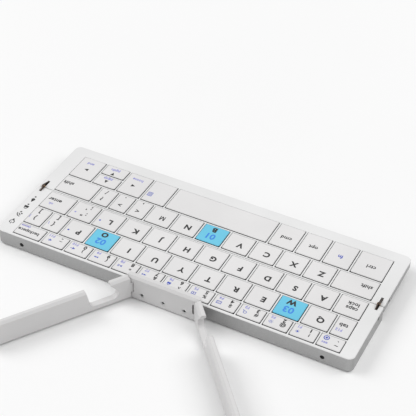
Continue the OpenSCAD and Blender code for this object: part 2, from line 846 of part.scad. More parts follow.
// Side view of an arm's device notch: x is the distance from the pivot, y the height
module notch_2d() {
    near = [notch_near, notch_floor + notch_near_r];
    far = [notch_far, notch_floor + notch_far_r];
    top = stand_top_z + 1;
    up = [sin(notch_lean), cos(notch_lean)];
    out = [cos(notch_lean), -sin(notch_lean)];
    lip_root = near + notch_near_r * [-sin(lip_angle), cos(lip_angle)];
    lip_end = lip_root + (lip_tip - lip_root[0]) * [1, tan(lip_angle)];
    wall_foot = far + notch_far_r * out;
    function wall_at(z) = wall_foot + (z - wall_foot[1]) / up[1] * up;
    shoulder = wall_at(stand_top_z - notch_shoulder_r) + [notch_shoulder_r / out[0], 0];
    translate(near) circle(notch_near_r);
    translate(far) circle(notch_far_r);
    polygon([lip_root, [near[0], notch_floor], [far[0], notch_floor], wall_foot,
        wall_at(top), [lip_tip, top], lip_end]);
    difference() {
        polygon([shoulder - notch_shoulder_r * out, wall_at(top), [shoulder[0], top],
            [shoulder[0], shoulder[1]]]);
        translate(shoulder) circle(notch_shoulder_r);
    }
}

// An arm folded along +X, with its pivot at the origin and its outer face at +Y
module arm() {
    difference() {
        union() {
            translate([0, -knuckle_r, stand_z]) cube([arm_l, arm_t, stand_h]);
            pivot_post(arm_knuckle_z, arm_knuckle_h, knuckle_r);
        }
        for (span = [[0, arm_knuckle_z], [arm_knuckle_z + arm_knuckle_h, 2 * stand_top_z]])
            pivot_post(span[0], span[1] - span[0], arm_free_r);
        pivot_post(0, 2 * stand_top_z, arm_pin_r + pin_clear);
        translate([0, arm_t, 0]) rotate([90, 0, 0]) linear_extrude(2 * arm_t) notch_2d();
        long_chamfers(-1, arm_l + 1, -knuckle_r, knuckle_r, face_chamfer);
        translate([0, 0, -1]) linear_extrude(2 * stand_top_z)
            polygon([[arm_l, -knuckle_r - tiny], [arm_l - tip_slant, knuckle_r + tiny],
                [arm_l + 1, knuckle_r + tiny], [arm_l + 1, -knuckle_r - tiny]]);
    }
}

module arm_right() {
    color("whitesmoke") translate([pivot_x, pivot_y, 0]) rotate([0, 0, right_angle]) arm();
}

module arm_left() {
    color("whitesmoke") mirror([1, 0, 0])
        translate([pivot_x, pivot_y, 0]) rotate([0, 0, left_angle]) arm();
}

// ---- keys ----

// Keycap with its front left corner at x, y: bevelled top, open below
module keycap(x, y, w, d) {
    translate([x + w / 2, y, cap_z]) difference() {
        intersection() {
            linear_extrude(cap_h) rounded_rect(w, 0, d, cap_r, cap_r);
            across_x(-w / 2 - 1, w + 2) bevel_2d(0, d);
            translate([0, d + 1, 0]) rotate([90, 0, 0]) linear_extrude(d + 2)
                bevel_2d(-w / 2, w / 2);
        }
        translate([-w / 2 + cap_wall, cap_wall, -1])
            cube([w - 2 * cap_wall, d - 2 * cap_wall, cap_h - cap_top + 1]);
    }
}

// End view of a cap from a to b: upright sides and a bevelled top
module bevel_2d(a, b) {
    polygon([[a, 0], [b, 0], [b, cap_h - cap_bevel], [b - cap_bevel, cap_h],
        [a + cap_bevel, cap_h], [a, cap_h - cap_bevel]]);
}

// The keys of a row whose places are listed, counted from 0 at the left
module keys(row, places, tint = "whitesmoke") {
    color(tint) for (i = places) keycap(key_x(row, i), row[1], row[0][i], row[2]);
}

// Half-height arrow key: place 0 is the lower one and 1 the upper one
module split_key(place) {
    color("whitesmoke") keycap(key_x(BOTTOM, SPLIT_KEY),
        bottom_row_y + place * (split_d + key_gap), BOTTOM_ROW[SPLIT_KEY], split_d);
}

// ---- drawing ----

// Moves the origin from the fold line to the middle of the front foot strip
module placed() {
    translate([0, -front_foot_y, 0]) children();
}

module stood() {
    placed() translate([stand_x, 0, 0]) children();
}

placed() rear_shell();
placed() rear_frame();
placed() rear_key_plate();
placed() rear_switch_sheet();
placed() circuit_board();
placed() battery();
placed() charge_port();
placed() rear_flex();
placed() rear_magnets();
placed() arm_magnets();
placed() status_lights();
placed() foot_strips();
placed() front_shell();
placed() front_frame();
placed() front_key_plate();
placed() front_switch_sheet();
placed() front_flex();
placed() front_magnets();
placed() rear_hinge_leaves();
placed() front_hinge_leaves();
placed() hinge_pins();
placed() rear_hinge_screws();
placed() front_hinge_screws();
stood() stand_block();
stood() block_screws();
stood() arm_pins();
stood() arm_left();
stood() arm_right();
placed() keys(NUMBER, [0:5]);  // number_keys_left
placed() keys(NUMBER, [6:11]);  // number_keys_right
placed() keys(NUMBER, [12]);  // backspace_key
placed() keys(UPPER, [0]);  // tab_key
placed() keys(UPPER, [1, 3, 4, 5]);  // upper_keys_left
placed() keys(UPPER, [2], "skyblue");  // w_key
placed() keys(UPPER, [6, 7, 8, 10]);  // upper_keys_right
placed() keys(UPPER, [9], "skyblue");  // o_key
placed() keys(UPPER, [11, 12]);  // bracket_keys
placed() keys(HOME, [0]);  // caps_key
placed() keys(HOME, [1:5]);  // home_keys_left
placed() keys(HOME, [6:10]);  // home_keys_right
placed() keys(HOME, [11]);  // enter_key
placed() keys(LOWER, [0]);  // shift_key_left
placed() keys(LOWER, [1:4]);  // lower_keys_left
placed() keys(LOWER, [5], "skyblue");  // b_key
placed() keys(LOWER, [6, 7]);  // lower_keys_right
placed() keys(LOWER, [8:10]);  // punctuation_keys
placed() keys(LOWER, [11]);  // shift_key_right
placed() keys(BOTTOM, [0]);  // control_key
placed() keys(BOTTOM, [1]);  // fn_key
placed() keys(BOTTOM, [2]);  // option_key
placed() keys(BOTTOM, [3]);  // command_key
placed() keys(BOTTOM, [4]);  // space_key
placed() keys(BOTTOM, [5]);  // menu_key
placed() keys(BOTTOM, [6]);  // arrow_key_left
placed() split_key(1);  // arrow_key_up
placed() split_key(0);  // arrow_key_down
placed() keys(BOTTOM, [8]);  // arrow_key_right
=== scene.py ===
"""Finishes, key lettering and small fittings of a folding keyboard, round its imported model.

Lengths are in millimetres until a mesh is made. +X is the typist's right, +Y is away from the
typist and +Z is up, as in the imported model.
"""

import math

import bpy
import mathutils
import numpy as np
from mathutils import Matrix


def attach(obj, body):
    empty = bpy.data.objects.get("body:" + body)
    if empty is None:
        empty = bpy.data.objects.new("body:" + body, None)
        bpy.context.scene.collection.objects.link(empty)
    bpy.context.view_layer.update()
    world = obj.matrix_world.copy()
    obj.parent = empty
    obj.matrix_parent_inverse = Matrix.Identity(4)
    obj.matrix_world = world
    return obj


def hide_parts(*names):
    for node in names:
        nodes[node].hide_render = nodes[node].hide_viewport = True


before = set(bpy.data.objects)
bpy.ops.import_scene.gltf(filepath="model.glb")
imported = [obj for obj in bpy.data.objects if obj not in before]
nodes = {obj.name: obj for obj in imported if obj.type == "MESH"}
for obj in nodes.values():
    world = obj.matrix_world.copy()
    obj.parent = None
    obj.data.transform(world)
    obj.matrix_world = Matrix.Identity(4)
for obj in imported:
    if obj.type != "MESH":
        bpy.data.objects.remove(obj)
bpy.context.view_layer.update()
MM = 0.001

# ---------------------------------------------------------------- the layout of the keys

KEY_TOP = 11.8
BEZEL_TOP = 11.2
KEY_GAP = 1.8
KEYS_LEFT = -109.5
KEYS_WIDTH = 216.9
LETTER_W, NUMBER_W, ARROW_W, BRACKET_W, MARK_W = 16.2, 14.8, 16.0, 11.3, 11.0
TILDE_W, CONTROL_W = 14.2, 20.0
LETTER_D, NUMBER_D, BOTTOM_D = 15.4, 9.7, 20.4
# near edges of the rows, from the far one to the near one
NUMBER_Y, UPPER_Y, HOME_Y, LOWER_Y, BOTTOM_Y = 30.7, 13.5, -3.7, -22.25, -44.45


def row(near, depth, widths):
    """Centres (x, y) of a row's keys; the width None takes what the others leave."""
    free = KEYS_WIDTH - sum(w or 0 for w in widths) - KEY_GAP * (len(widths) - 1)
    share = free / max(1, widths.count(None))
    widths = np.array([share if w is None else w for w in widths])
    left = KEYS_LEFT + np.concatenate([[0], np.cumsum(widths[:-1] + KEY_GAP)])
    return [(x, near + depth / 2) for x in left + widths / 2]


NUMBER = row(NUMBER_Y, NUMBER_D, [TILDE_W] + [NUMBER_W] * 11 + [None])
UPPER = row(UPPER_Y, LETTER_D, [None] + [LETTER_W] * 10 + [BRACKET_W] * 2)
HOME = row(HOME_Y, LETTER_D, [LETTER_W] * 11 + [None])
LOWER = row(LOWER_Y, LETTER_D, [None] + [LETTER_W] * 7 + [MARK_W] * 3 + [None])
BOTTOM = row(BOTTOM_Y, BOTTOM_D, [CONTROL_W] + [LETTER_W] * 3 + [None] + [ARROW_W] * 4)

# ---------------------------------------------------------------- meshes


def mesh_piece(name, body, verts, faces, finishes, which=None):
    """A piece at the origin, from vertices in mm and faces in arrays (count, corners).

    which gives each face the place of its finish among the finishes.
    """
    data = bpy.data.meshes.new(name)
    corners = [face for block in faces for face in block.tolist()]
    data.from_pydata((np.asarray(verts) * MM).tolist(), [], corners)
    for finish in finishes:
        data.materials.append(finish)
    if which is not None:
        data.polygons.foreach_set("material_index", np.asarray(which, np.int32))
    data.update()
    piece = bpy.data.objects.new(name, data)
    bpy.context.scene.collection.objects.link(piece)
    if body:
        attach(piece, body)
    return piece


def closed_skin(rings):
    """Vertices and arrays of faces of a skin over rings (m, n, 3), closed by a fan at each end.

    Point (i, j) joins (i, j + 1) and (i + 1, j), the rings wrap round, and the first and the
    last ring close on their mean points.
    """
    m, n, _ = rings.shape
    verts = np.vstack([rings.reshape(-1, 3), rings[0].mean(0), rings[-1].mean(0)])
    i, j = np.meshgrid(np.arange(m - 1), np.arange(n), indexing="ij")
    a, b = i * n + j, i * n + (j + 1) % n
    quads = np.stack([a, b, b + n, a + n], -1).reshape(-1, 4)
    k = np.arange(n)
    first = np.stack([np.full(n, m * n), (k + 1) % n, k], -1)
    last = np.stack([np.full(n, m * n + 1), (m - 1) * n + k, (m - 1) * n + (k + 1) % n], -1)
    return verts, [quads, first, last]


def join_skins(skins):
    """Vertices and arrays of faces of several skins as one."""
    starts = np.cumsum([0] + [len(verts) for verts, _ in skins])
    faces = [block + start for start, (_, blocks) in zip(starts, skins) for block in blocks]
    return np.vstack([verts for verts, _ in skins]), faces


def face_count(skin):
    """How many faces a skin has."""
    return sum(len(block) for block in skin[1])


def turned(points, towards, at):
    """Points whose +Z is turned to a unit vector and whose origin is moved to a place."""
    z = np.array(towards, float)
    x = np.cross([0, 0, 1.0] if abs(z[2]) < 0.9 else [1.0, 0, 0], z)
    x /= np.linalg.norm(x)
    return points @ np.stack([x, np.cross(z, x), z]) + np.array(at, float)


# Rings across a screw's face, and points round each of its rings
FACE_RINGS, SCREW_POINTS = 18, 72


def screw(head_r, head_l, shank_r, length):
    """Rings of a screw with a cross recess; its face lies at z = 0 and it points to -Z.

    The profile (r, z) goes out over the face, round the rim by a quarter circle, down the head,
    in to the shank and down to a bevelled tip. On the face a point sinks where its smaller
    coordinate is within half the cross's width and its larger one within its reach. The sides
    of the cross lean by flank, and the ends of its arms by end.
    """
    rim, bevel, tip_share = 0.15, 0.2, 0.6
    flank, end = 0.08, 0.12
    half_width, reach, depth = 0.24 * head_r, 0.62 * head_r, 0.8 * head_l
    quarter = np.linspace(0, math.pi / 2, 5)[1:]
    face = np.linspace(0.04, 1, FACE_RINGS) * (head_r - rim)
    r = np.concatenate([face, head_r - rim + rim * np.sin(quarter),
                        [head_r, shank_r, shank_r, shank_r * tip_share]])
    z = np.concatenate([0 * face, rim * (np.cos(quarter) - 1),
                        [-head_l, -head_l, -length + bevel, -length]])
    turn = np.linspace(0, 2 * math.pi, SCREW_POINTS, endpoint=False)
    x, y = r[:, None] * np.cos(turn), r[:, None] * np.sin(turn)
    near, far = np.minimum(abs(x), abs(y)), np.maximum(abs(x), abs(y))
    across = np.clip((half_width - near) / flank + 0.5, 0, 1)
    along = np.clip((reach - far) / end + 0.5, 0, 1)
    on_face = np.arange(len(r))[:, None] < len(face)
    sunk = np.where(on_face, across * along * depth, 0)
    return np.stack([x, y, z[:, None] - sunk], -1)[:, ::-1]


def rounded_bar(low, high, soft):
    """Rings of a bar along X from its low corner to its high one.

    Each ring is a superellipse |y/b|^6 + |z/c|^6 = 1, and the rings near both ends shrink by a
    quarter circle of radius soft.
    """
    power = 6
    low, high = np.array(low, float), np.array(high, float)
    quarter = np.linspace(0, math.pi / 2, 5)[1:]
    back = quarter[::-1]
    x = np.concatenate([low[0] + soft * (1 - np.cos(quarter)), high[0] - soft * (1 - np.cos(back))])
    shrink = np.concatenate([soft * (1 - np.sin(quarter)), soft * (1 - np.sin(back))])
    turn = np.linspace(0, 2 * math.pi, 48, endpoint=False)
    c, s = np.cos(turn), np.sin(turn)
    reach = (abs(c) ** power + abs(s) ** power) ** (-1 / power)
    half = (high - low)[1:] / 2
    middle = (high + low)[1:] / 2
    y = middle[0] + (half[0] - shrink[:, None]) * c * reach
    z = middle[1] + (half[1] - shrink[:, None]) * s * reach
    return np.stack([np.broadcast_to(x[:, None], y.shape), y, z], -1)


# ---------------------------------------------------------------- materials

# A noise node's value keeps mostly to this range, which the finishes spread out.
NOISE_RANGE = {"From Min": 0.3, "From Max": 0.7}


def linear(colour):
    """Linear RGBA from an sRGB hex string."""
    rgb = [int(colour[i : i + 2], 16) / 255 for i in (1, 3, 5)]
    return [c / 12.92 if c <= 0.04045 else ((c + 0.055) / 1.055) ** 2.4 for c in rgb] + [1.0]


def add(tree, kind, inputs=None, **settings):
    """Adds a shader node; an input is a value or another node's socket. Gives its outputs."""
    made = tree.nodes.new("ShaderNode" + kind)
    for name, value in settings.items():
        setattr(made, name, value)
    for key, value in (inputs or {}).items():
        if isinstance(value, bpy.types.NodeSocket):
            tree.links.new(value, made.inputs[key])
        else:
            made.inputs[key].default_value = value
    return made.outputs


def blank(name):
    """A new material, its node tree and its shader."""
    made = bpy.data.materials.new(name)
    made.use_nodes = True
    tree = made.node_tree
    return made, tree, tree.nodes["Principled BSDF"]


def drifting_tone(tree, place, size, one, other):
    """A colour that drifts between two tones, in lumps of size mm."""
    drift = add(tree, "TexNoise", {"Vector": place, "Scale": 1 / (size * MM)})[0]
    factor = add(tree, "MapRange", {"Value": drift, **NOISE_RANGE})[0]
    return add(tree, "Mix", {"Factor": factor, "A": linear(one), "B": linear(other)},
               data_type="RGBA")["Result"]


def moulded(name, colour, shade, rough, grain, depth, ior=1.54):
    """A moulded plastic or rubber: a spark-eroded grain, and a faint drift of tone and gloss.

    grain is the size of the tool's texture and depth its height, both in mm; shade is the
    colour that the drift leads to. The tool rounds every edge off a little.
    """
    tone_drift, gloss_drift, tool_edge = 45.0, 6.0 * MM, 0.15 * MM
    made, tree, shader = blank(name)
    place = add(tree, "TexCoord")["Object"]
    tone = drifting_tone(tree, place, tone_drift, colour, shade)
    tree.links.new(tone, shader.inputs["Base Color"])
    gloss = add(tree, "TexNoise", {"Vector": place, "Scale": 1 / gloss_drift, "Detail": 4.0})[0]
    gloss = add(tree, "MapRange", {"Value": gloss, **NOISE_RANGE, "To Min": rough - 0.05,
                                   "To Max": rough + 0.07})[0]
    tree.links.new(gloss, shader.inputs["Roughness"])
    texture = add(tree, "TexNoise", {"Vector": place, "Scale": 1 / (grain * MM), "Detail": 3.0})[0]
    rounded = add(tree, "Bevel", {"Radius": tool_edge}, samples=4)[0]
    bump = add(tree, "Bump", {"Strength": 0.6, "Distance": depth * MM, "Height": texture,
                              "Normal": rounded})[0]
    tree.links.new(bump, shader.inputs["Normal"])
    shader.inputs["IOR"].default_value = ior
    return made


def gap_shade_skirt(made, gap_shade, height):
    """Paints shade into a moulding: below a height in mm its colour turns to a darker one."""
    tree = made.node_tree
    socket = tree.nodes["Principled BSDF"].inputs["Base Color"]
    z = add(tree, "SeparateXYZ", {"Vector": add(tree, "TexCoord")["Object"]})["Z"]
    low = add(tree, "Math", {0: z, 1: height * MM}, operation="LESS_THAN")[0]
    colour = add(tree, "Mix", {"Factor": low, "A": socket.links[0].from_socket,
                               "B": linear(gap_shade)}, data_type="RGBA")["Result"]
    tree.links.new(colour, socket)
    return made


def metal(name, colour, shade, rough, grain, depth, stretch=(1, 1, 1)):
    """A bare or plated metal; stretch draws its grain out along the axes, as brushing does."""
    tone_drift = 30.0
    made, tree, shader = blank(name)
    place = add(tree, "TexCoord")["Object"]
    tone = drifting_tone(tree, place, tone_drift, colour, shade)
    tree.links.new(tone, shader.inputs["Base Color"])
    drawn = add(tree, "Mapping", {"Vector": place, "Scale": [1 / s for s in stretch]})[0]
    fine = add(tree, "TexNoise", {"Vector": drawn, "Scale": 1 / (grain * MM), "Detail": 3.0})[0]
    gloss = add(tree, "MapRange", {"Value": fine, **NOISE_RANGE, "To Min": rough - 0.06,
                                   "To Max": rough + 0.06})[0]
    tree.links.new(gloss, shader.inputs["Roughness"])
    bump = add(tree, "Bump", {"Strength": 0.5, "Distance": depth * MM, "Height": fine})[0]
    tree.links.new(bump, shader.inputs["Normal"])
    shader.inputs["Metallic"].default_value = 1.0
    return made


def anodised_shell(name):
    """Bead-blasted and anodised aluminium with a diamond-cut chamfer.

    The blasting gives a soft grey sheen with a fine sparkle. The chamfer is cut after it, and
    shows bright: it is wherever the face leans at 45 degrees to the table.
    """
    # beads of about 0.1 mm leave pits that are too fine to show, so they are drawn at 0.35 mm
    pit, pit_depth, gloss_drift = 0.35 * MM, 0.01 * MM, 14.0 * MM
    cut_lean, lean_slack, cut_rough = math.sqrt(0.5), 0.06, 0.16
    made, tree, shader = blank(name)
    coords = add(tree, "TexCoord")
    lean = add(tree, "SeparateXYZ", {"Vector": coords["Normal"]})["Z"]
    lean = add(tree, "Math", {0: lean}, operation="ABSOLUTE")[0]
    off = add(tree, "Math", {0: lean, 1: cut_lean}, operation="SUBTRACT")[0]
    off = add(tree, "Math", {0: off}, operation="ABSOLUTE")[0]
    cut = add(tree, "Math", {0: off, 1: lean_slack}, operation="LESS_THAN")[0]
    pits = add(tree, "TexNoise", {"Vector": coords["Object"], "Scale": 1 / pit, "Detail": 4.0,
                                  "Roughness": 0.65})[0]
    tone = add(tree, "MapRange", {"Value": pits, **NOISE_RANGE})[0]
    tone = add(tree, "Mix", {"Factor": tone, "A": linear("#A0A0A0"), "B": linear("#B2B2B2")},
               data_type="RGBA")["Result"]
    colour = add(tree, "Mix", {"Factor": cut, "A": tone, "B": linear("#E6E6E6")},
                 data_type="RGBA")["Result"]
    tree.links.new(colour, shader.inputs["Base Color"])
    gloss = add(tree, "TexNoise", {"Vector": coords["Object"], "Scale": 1 / gloss_drift,
                                   "Detail": 3.0})[0]
    gloss = add(tree, "MapRange", {"Value": gloss, **NOISE_RANGE, "To Min": 0.40,
                                   "To Max": 0.47})[0]
    rough = add(tree, "Mix", {"Factor": cut, "A": gloss, "B": cut_rough})["Result"]
    tree.links.new(rough, shader.inputs["Roughness"])
    bump = add(tree, "Bump", {"Strength": 0.35, "Distance": pit_depth, "Height": pits})[0]
    tree.links.new(bump, shader.inputs["Normal"])
    shader.inputs["Metallic"].default_value = 1.0
    return made


def circuit_laminate(name):
    """Glass-fibre laminate under a green solder mask, with a grid of tracks 1.2 mm apart."""
    tracks_scale, gloss_drift = 1 / (2.4 * MM), 3.0 * MM
    made, tree, shader = blank(name)
    place = add(tree, "TexCoord")["Object"]
    tracks = add(tree, "TexBrick", {"Vector": place, "Scale": tracks_scale,
                                    "Mortar Size": 0.06, "Color1": linear("#14562E"),
                                    "Color2": linear("#1A6236"), "Mortar": linear("#2F8A4E")})
    tree.links.new(tracks["Color"], shader.inputs["Base Color"])
    gloss = add(tree, "TexNoise", {"Vector": place, "Scale": 1 / gloss_drift})[0]
    gloss = add(tree, "MapRange", {"Value": gloss, **NOISE_RANGE, "To Min": 0.25,
                                   "To Max": 0.4})[0]
    tree.links.new(gloss, shader.inputs["Roughness"])
    return made


# Keys, bezels and stand: ABS, moulded against a lightly spark-eroded tool. It gives an even,
# satin white whose grain is drawn at 0.3 mm, since the real 0.05 mm grain can't show. A keycap's
# skirt is painted dark grey: painted shade, which darkens the gap between two keys.
GAP_SHADE_TOP = KEY_TOP - 0.45
GAP_SHADE_GREY = "#2A2A2C"
WHITE_CAP = moulded("satin_white_abs_keys", "#DAD9D9", "#D4D3D3", 0.42, 0.3, 0.006)
KEY_ABS = gap_shade_skirt(WHITE_CAP, GAP_SHADE_GREY, GAP_SHADE_TOP)
BEZEL_ABS = moulded("satin_white_abs_bezel", "#DEDEDE", "#D7D7D7", 0.40, 0.35, 0.008)
STAND_ABS = moulded("satin_white_abs_stand", "#D0CFCF", "#CAC9C9", 0.44, 0.4, 0.010)
BLUE_CAP = moulded("sky_blue_abs_keys", "#69C1DC", "#60B9D6", 0.40, 0.3, 0.006)
BLUE_ABS = gap_shade_skirt(BLUE_CAP, GAP_SHADE_GREY, GAP_SHADE_TOP)
# Strips and switch sheets: moulded natural rubber and silicone, matt and slightly dusty.
FOOT_RUBBER = moulded("moulded_black_rubber", "#1B1B1C", "#262627", 0.75, 0.5, 0.03, 1.52)
SHEET_RUBBER = moulded("moulded_black_silicone", "#17171A", "#1E1E20", 0.62, 0.4, 0.01, 1.41)
# Lights: acrylic with a smoky tint, dark while they are off. Cables: film with a warm gloss.
LIGHT_PIPE = moulded("smoked_acrylic", "#3A3A3C", "#454547", 0.30, 0.2, 0.004, 1.49)
CABLE_FILM = moulded("amber_polyimide_film", "#A8682A", "#96591F", 0.30, 0.5, 0.004, 1.70)
# Lettering: a laser mark in black and pad-printed inks in blue, flat and a little matt.
BLACK_INK = moulded("black_laser_mark", "#0E0E0F", "#151516", 0.60, 0.1, 0.002)
BLUE_INK = moulded("blue_printed_ink", "#2F44A8", "#3A4FB0", 0.55, 0.1, 0.002)
PALE_INK = moulded("lavender_printed_ink", "#8484C4", "#8E8ECC", 0.55, 0.1, 0.002)
DEEP_INK = moulded("deep_blue_printed_ink", "#2F7AD2", "#3A84D8", 0.55, 0.1, 0.002)
# The inlet's tongue: nylon with glass fibre, black and a little rough.
CONTACT_PLASTIC = moulded("black_glass_filled_nylon", "#18181A", "#202022", 0.5, 0.2, 0.005)
SHELL_METAL = anodised_shell("blasted_anodised_aluminium")
# Plates: cold-rolled steel, drawn out along the rolls. Leaves are stamped and bronzed, screws are
# zinc-plated, pins are ground or turned, and magnets and the inlet have a closer, plated shine.
PLATE_STEEL = metal("rolled_steel_plate", "#6C6D70", "#5E5F62", 0.38, 0.3, 0.004, (20, 1, 1))
HINGE_STEEL = metal("stamped_bronzed_steel", "#5E534C", "#4A413C", 0.40, 0.15, 0.006, (1, 4, 1))
SCREW_ZINC = metal("zinc_plated_screw", "#DADADA", "#C8C8C8", 0.34, 0.12, 0.006)
# Painted shade: the black that fills a screw's cross recess.
RECESS_SHADE = metal("painted_recess_shade", "#101011", "#17171A", 0.6, 0.12, 0.006)
BLACK_NICKEL = metal("black_nickel_plating", "#2A2A2B", "#1F1F20", 0.22, 0.3, 0.003)
PIN_STEEL = metal("ground_steel_pin", "#A0A1A4", "#8E8F92", 0.25, 0.1, 0.003, (1, 1, 6))
BRASS = metal("turned_brass", "#947A5C", "#80674A", 0.34, 0.12, 0.004)
NICKEL = metal("nickel_plating", "#6E6E6E", "#5E5E5E", 0.26, 0.4, 0.003)
# The battery's pouch: laminated foil, which crinkles round what it wraps.
POUCH_FOIL = metal("crinkled_pouch_foil", "#B4B5B8", "#A2A3A6", 0.35, 2.5, 0.08)
LAMINATE = circuit_laminate("green_circuit_laminate")

# What each finish covers; the nodes that aren't named here are the white keys.
FINISH = {
    SHELL_METAL: ["rear_shell", "front_shell"],
    BEZEL_ABS: ["rear_frame", "front_frame"],
    STAND_ABS: ["stand_block", "arm_left", "arm_right"],
    BLUE_ABS: ["w_key", "o_key", "b_key"],
    PLATE_STEEL: ["rear_key_plate", "front_key_plate"],
    SHEET_RUBBER: ["rear_switch_sheet", "front_switch_sheet"],
    FOOT_RUBBER: ["foot_strips"],
    LIGHT_PIPE: ["status_lights"],
    CABLE_FILM: ["rear_flex", "front_flex"],
    HINGE_STEEL: ["rear_hinge_leaves", "front_hinge_leaves"],
    SCREW_ZINC: ["rear_hinge_screws", "front_hinge_screws", "block_screws"],
    BLACK_NICKEL: ["arm_magnets"],
    PIN_STEEL: ["arm_pins"],
    BRASS: ["hinge_pins"],
    NICKEL: ["rear_magnets", "front_magnets", "charge_port"],
    POUCH_FOIL: ["battery"],
    LAMINATE: ["circuit_board"],
}
finish_of = {name: finish for finish, names in FINISH.items() for name in names}
for name, obj in nodes.items():
    obj.data.materials.clear()
    obj.data.materials.append(finish_of.get(name, KEY_ABS))

# ---------------------------------------------------------------- outlines of signs and icons


def disc(x, y, r):
    """Loop of a circle."""
    a = np.linspace(0, 2 * math.pi, 24, endpoint=False)
    return np.stack([x + r * np.cos(a), y + r * np.sin(a)], -1)


def bar(x0, y0, x1, y1, w):
    """Loop of a straight stroke of width w between two points."""
    along = np.array([x1 - x0, y1 - y0]) / math.hypot(x1 - x0, y1 - y0)
    side = np.array([-along[1], along[0]]) * w / 2
    a, b = np.array([x0, y0]), np.array([x1, y1])
    return np.array([a + side, a - side, b - side, b + side])


def wedge(x, y, size, turn):
    """Loop of a triangle that points along turn, in degrees."""
    a = np.radians(turn) + np.array([0, 2.3, -2.3])
    return np.stack([x + size * np.cos(a), y + size * np.sin(a)], -1)


def outline(x0, y0, x1, y1, w):
    """Two loops of a rectangular line of width w."""
    def box(d):
        """The rectangle drawn in by d."""
        return np.array([[x0 + d, y0 + d], [x1 - d, y0 + d], [x1 - d, y1 - d], [x0 + d, y1 - d]])
    return [box(0), box(w)]


def arc(x, y, r, w, start, end):
    """Loop of a curved stroke of width w and mean radius r, between two angles in degrees."""
    a = np.radians(np.linspace(start, end, 17))
    r = np.repeat([r + w / 2, r - w / 2], len(a))
    a = np.concatenate([a, a[::-1]])
    return np.stack([x + r * np.cos(a), y + r * np.sin(a)], -1)


def rays(inner, outer, w):
    """Eight short strokes round the origin."""
    turns = np.radians(np.arange(8) * 45)
    return [bar(inner * math.cos(a), inner * math.sin(a), outer * math.cos(a),
                outer * math.sin(a), w) for a in turns]


def star(arms, inner, outer):
    """Loop of a star: each arm has two blunt corners at outer, and one corner at inner."""
    k = np.arange(arms * 4)
    r = np.choose(k % 4, [outer, outer, inner, inner])
    a = math.pi / 2 + (k // 4 + np.choose(k % 4, [-0.16, 0.16, 0.5, 0.5])) * 2 * math.pi / arms
    return np.stack([r * np.cos(a), 0.1 + r * np.sin(a)], -1)[k % 4 != 3]


SPEAKER = np.array([[-0.55, -0.16], [-0.3, -0.16], [0, -0.42], [0, 0.42], [-0.3, 0.16],
                    [-0.55, 0.16]])
ICONS = {
    # two characters that are drawn here, because the font's own lose their shape when thickened
    "M": [np.array([[-0.44, -0.5], [-0.44, 0.5], [-0.24, 0.5], [0, -0.14], [0.24, 0.5], [0.44, 0.5],
                    [0.44, -0.5], [0.29, -0.5], [0.29, 0.16], [0.06, -0.5], [-0.06, -0.5],
                    [-0.29, 0.16], [-0.29, -0.5]])],
    "*": [star(6, 0.1, 0.36)],
    "dim": [disc(0, 0, 0.24)] + rays(0.34, 0.46, 0.09),
    "bright": [disc(0, 0, 0.26), disc(0, 0, 0.15)] + rays(0.36, 0.56, 0.1),
    "search": [disc(-0.1, 0.1, 0.4), disc(-0.1, 0.1, 0.28), bar(0.18, -0.18, 0.5, -0.5, 0.16)],
    "keypad": outline(-0.6, -0.42, 0.6, 0.42, 0.13)
    + [bar(x, y - 0.07, x, y + 0.07, 0.14) for x in (-0.3, 0, 0.3) for y in (-0.14, 0.14)],
    "capture": outline(-0.52, -0.38, 0.52, 0.38, 0.14) + [disc(0, 0, 0.16)],
    "lock": [bar(0, -0.5, 0, 0.02, 0.84), arc(0, 0.06, 0.27, 0.14, 0, 180)],
    "back": [wedge(-0.22, 0, 0.34, 180), wedge(0.3, 0, 0.34, 180)],
    "play": [wedge(-0.26, 0, 0.38, 0), bar(0.22, -0.32, 0.22, 0.32, 0.13),
             bar(0.46, -0.32, 0.46, 0.32, 0.13)],
    "ahead": [wedge(-0.3, 0, 0.34, 0), wedge(0.22, 0, 0.34, 0)],
    "mute": [SPEAKER, bar(0.16, -0.2, 0.5, 0.2, 0.1)],
    "quiet": [SPEAKER, bar(0.2, -0.16, 0.2, 0.16, 0.1)],
    "loud": [SPEAKER, bar(0.2, -0.16, 0.2, 0.16, 0.1), bar(0.42, -0.3, 0.42, 0.3, 0.1)],
    "round": [disc(0, 0, 0.5), disc(0, 0, 0.34), disc(0, 0, 0.2)],
    "page": outline(-0.42, -0.5, 0.42, 0.5, 0.12)
    + [bar(-0.22, y, 0.22, y, 0.1) for y in (-0.2, 0, 0.2)],
    "dot": [disc(0, 0, 0.5)],
    "left": [wedge(0.1, 0, 0.5, 180)],
    "right": [wedge(-0.1, 0, 0.5, 0)],
    "up": [wedge(0, -0.1, 0.5, 90)],
    "down": [wedge(0, 0.1, 0.5, 270)],
    "power": [arc(0, -0.05, 0.42, 0.16, 128, 412), bar(0, 0.04, 0, 0.52, 0.16)],
    "radio": [disc(-0.36, -0.36, 0.16), arc(-0.36, -0.36, 0.44, 0.17, 0, 90),
              arc(-0.36, -0.36, 0.8, 0.17, 0, 90)],
    "capital": [wedge(0, 0.1, 0.5, 90), bar(-0.16, -0.36, 0.16, -0.36, 0.3)],
}

# ---------------------------------------------------------------- lettering

# How far a letter's outline is pushed outwards, in heights of the text
THIN, BOLD, HEAVY = 0.03, 0.045, 0.06


def word_curve(text, weight):
    """A curve of a word in Blender's own font."""
    curve = bpy.data.curves.new("word", "FONT")
    curve.body, curve.align_x, curve.offset = text, "CENTER", weight
    curve.resolution_u = 3
    curve.space_character = 1.04
    return curve


def icon_curve(loops):
    """A filled curve of loops, where a loop inside another one is a hole."""
    curve = bpy.data.curves.new("icon", "CURVE")
    curve.dimensions, curve.fill_mode = "2D", "BOTH"
    for loop in loops:
        line = curve.splines.new("POLY")
        line.points.add(len(loop) - 1)
        corners = np.column_stack([loop, np.zeros(len(loop)), np.ones(len(loop))])
        line.points.foreach_set("co", corners.ravel().astype(np.float32))
        line.use_cyclic_u = True
    return curve


